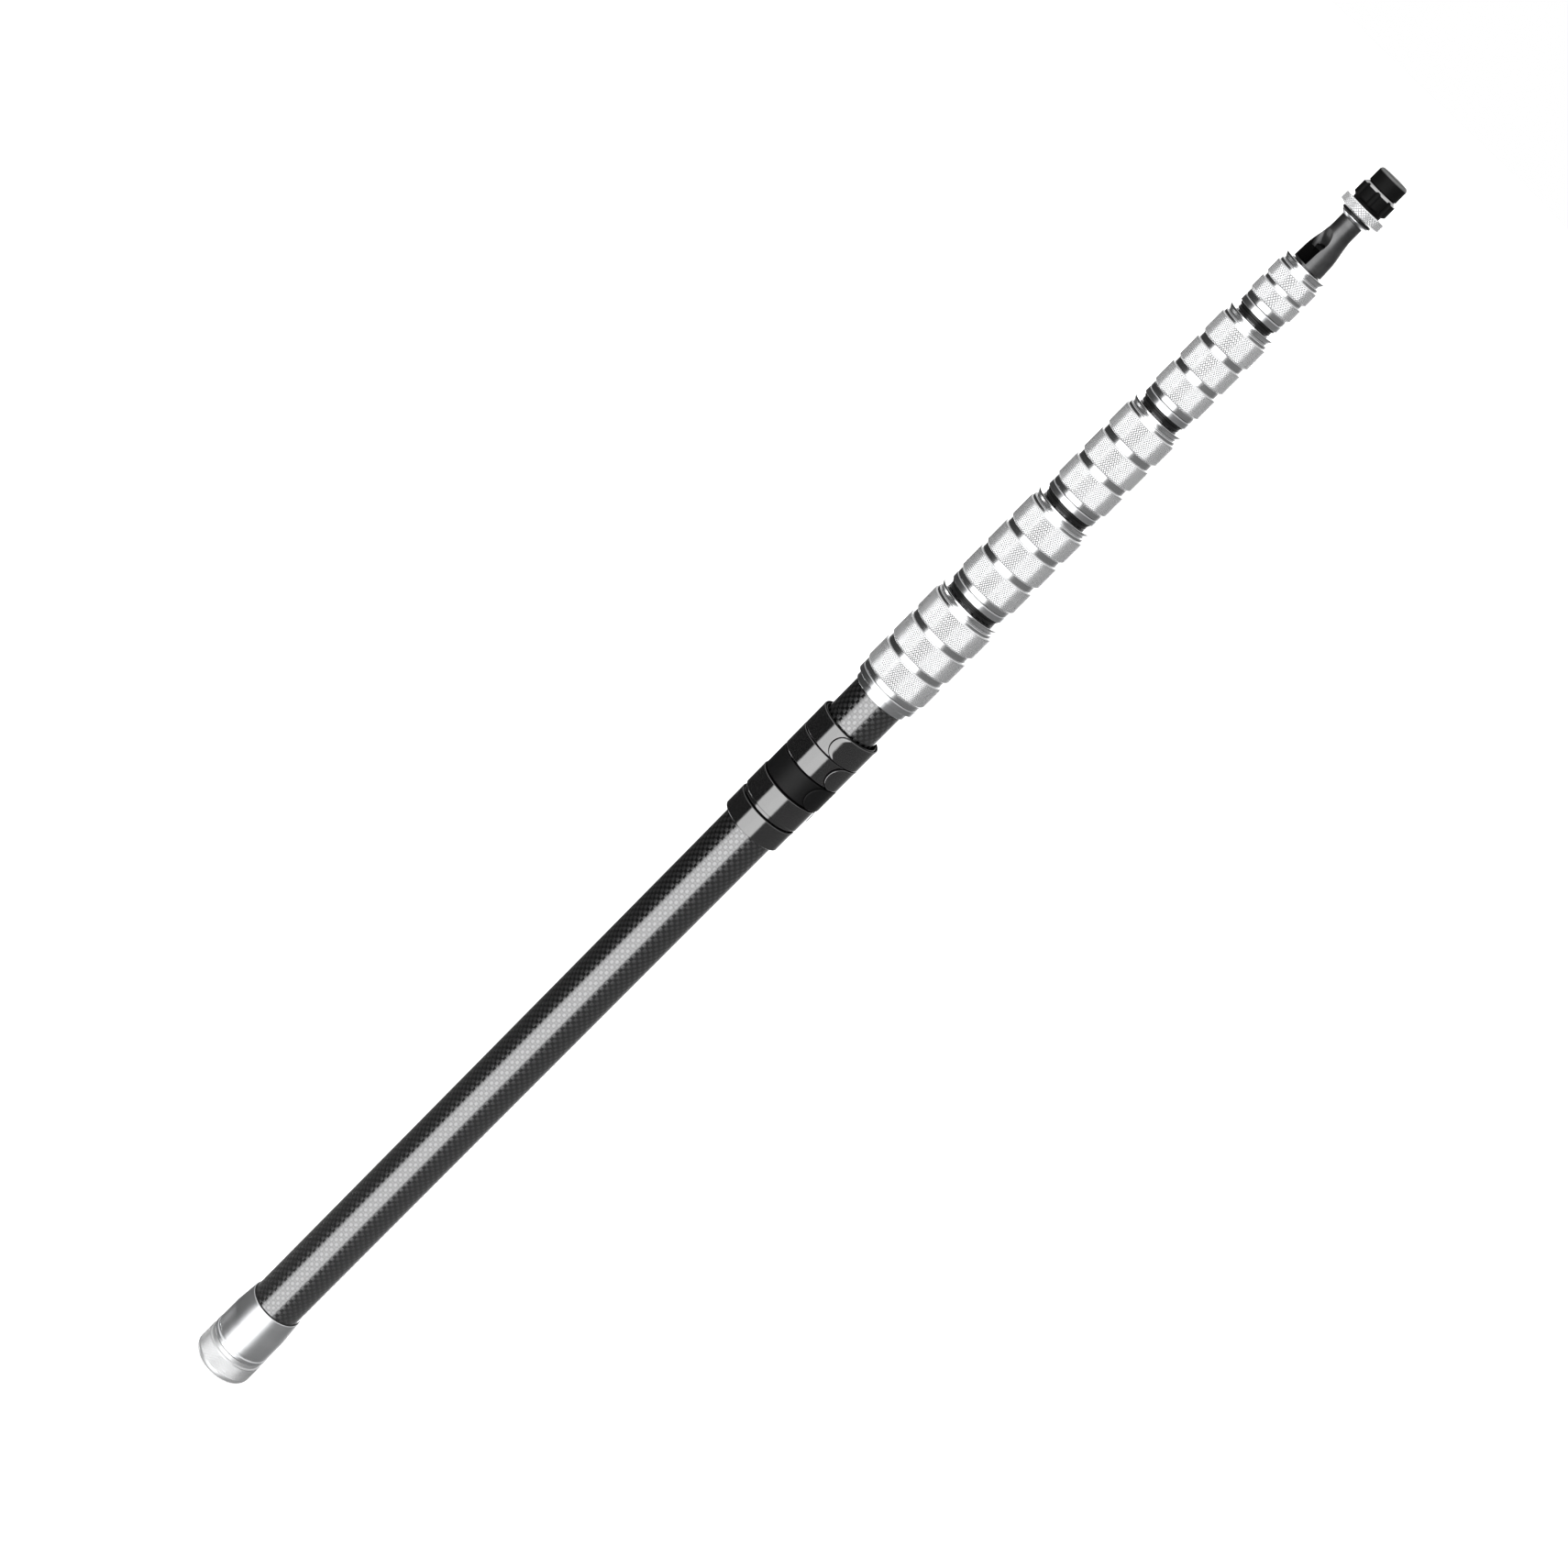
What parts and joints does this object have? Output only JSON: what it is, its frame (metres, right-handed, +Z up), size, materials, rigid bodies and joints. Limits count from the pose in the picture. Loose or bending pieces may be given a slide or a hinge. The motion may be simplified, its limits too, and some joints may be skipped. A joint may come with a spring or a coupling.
{
  "type": "boom pole",
  "caption": "Telescopic carbon boom pole for a microphone, with twist locks, a screw foot cap, cable straps and a quick-release tip.",
  "frame": {"origin": "centre of the foot cap's bottom face", "axes": "+Z up along the pole from the foot to the tip; -Y out of the cable window in the head"},
  "size_m": [0.045, 0.045, 1.0583],
  "materials": {
    "carbon": "clear-coated carbon weave",
    "satin_aluminium": "satin anodised, knurled grips",
    "head_casting": "dark grey anodised",
    "black_rubber": "matt",
    "black_nylon": "moulded",
    "strap_web": "coated webbing, semi-gloss",
    "tip_black": "black anodised",
    "stud_steel": "zinc plated"
  },
  "bodies": {
    "outer": {"tube_1": "carbon", "foot_sleeve": "satin_aluminium", "ferrule_1": "satin_aluminium", "collet_1": "black_nylon", "cable_strap_1": "strap_web", "cable_strap_2": "strap_web", "cable_strap_3": "strap_web", "cable_strap_4": "strap_web", "cable_strap_5": "strap_web"},
    "foot_cap": {"foot_cap": "satin_aluminium", "foot_pad": "black_rubber", "foot_cap_seal": "black_rubber"},
    "section_2": {"tube_2": "carbon", "guide_bush_2": "black_nylon", "ferrule_2": "satin_aluminium", "collet_2": "black_nylon", "bumper_2": "black_rubber"},
    "section_3": {"tube_3": "carbon", "guide_bush_3": "black_nylon", "ferrule_3": "satin_aluminium", "collet_3": "black_nylon", "bumper_3": "black_rubber"},
    "section_4": {"tube_4": "carbon", "guide_bush_4": "black_nylon", "ferrule_4": "satin_aluminium", "collet_4": "black_nylon", "bumper_4": "black_rubber"},
    "section_5": {"tube_5": "carbon", "guide_bush_5": "black_nylon", "ferrule_5": "satin_aluminium", "collet_5": "black_nylon", "bumper_5": "black_rubber"},
    "section_6": {"tube_6": "carbon", "guide_bush_6": "black_nylon", "head": "head_casting", "stud": "stud_steel", "cone_washer": "satin_aluminium"},
    "nut_1": {"lock_nut_1": "satin_aluminium"},
    "nut_2": {"lock_nut_2": "satin_aluminium"},
    "nut_3": {"lock_nut_3": "satin_aluminium"},
    "nut_4": {"lock_nut_4": "satin_aluminium"},
    "nut_5": {"lock_nut_5": "satin_aluminium"},
    "jam_ring": {"jam_ring": "satin_aluminium", "jam_ring_seal": "black_rubber"},
    "tip": {"tip_sleeve": "tip_black", "tip_core": "tip_black"}
  },
  "joints": [
    {"name": "extend_2", "type": "slide", "parent": "outer", "child": "section_2", "axis": [0, 0, 1], "range_m": [0, 0.603]},
    {"name": "extend_3", "type": "slide", "parent": "section_2", "child": "section_3", "axis": [0, 0, 1], "range_m": [0, 0.676]},
    {"name": "extend_4", "type": "slide", "parent": "section_3", "child": "section_4", "axis": [0, 0, 1], "range_m": [0, 0.748]},
    {"name": "extend_5", "type": "slide", "parent": "section_4", "child": "section_5", "axis": [0, 0, 1], "range_m": [0, 0.819]},
    {"name": "extend_6", "type": "slide", "parent": "section_5", "child": "section_6", "axis": [0, 0, 1], "range_m": [0, 0.878]},
    {"name": "unlock_1", "type": "hinge", "parent": "outer", "child": "nut_1", "pos_m": [0, 0, 0.7178], "axis": [0, 0, 1], "range_deg": [0, 180]},
    {"name": "unlock_2", "type": "hinge", "parent": "section_2", "child": "nut_2", "pos_m": [0, 0, 0.7965], "axis": [0, 0, 1], "range_deg": [0, 180]},
    {"name": "unlock_3", "type": "hinge", "parent": "section_3", "child": "nut_3", "pos_m": [0, 0, 0.8735], "axis": [0, 0, 1], "range_deg": [0, 180]},
    {"name": "unlock_4", "type": "hinge", "parent": "section_4", "child": "nut_4", "pos_m": [0, 0, 0.948], "axis": [0, 0, 1], "range_deg": [0, 180]},
    {"name": "unlock_5", "type": "hinge", "parent": "section_5", "child": "nut_5", "pos_m": [0, 0, 0.9901], "axis": [0, 0, 1], "range_deg": [0, 180]},
    {"name": "unscrew_foot_cap", "type": "hinge", "parent": "outer", "child": "foot_cap", "pos_m": [0, 0, 0.02], "axis": [0, 0, -1], "range_deg": [0, 540]},
    {"name": "loosen_jam_ring", "type": "hinge", "parent": "section_6", "child": "jam_ring", "pos_m": [0, 0, 1.0335], "axis": [0, 0, -1], "range_deg": [0, 135]},
    {"name": "unscrew_tip", "type": "hinge", "parent": "section_6", "child": "tip", "pos_m": [0, 0, 1.045], "axis": [0, 0, 1], "range_deg": [0, 350]}
  ]
}
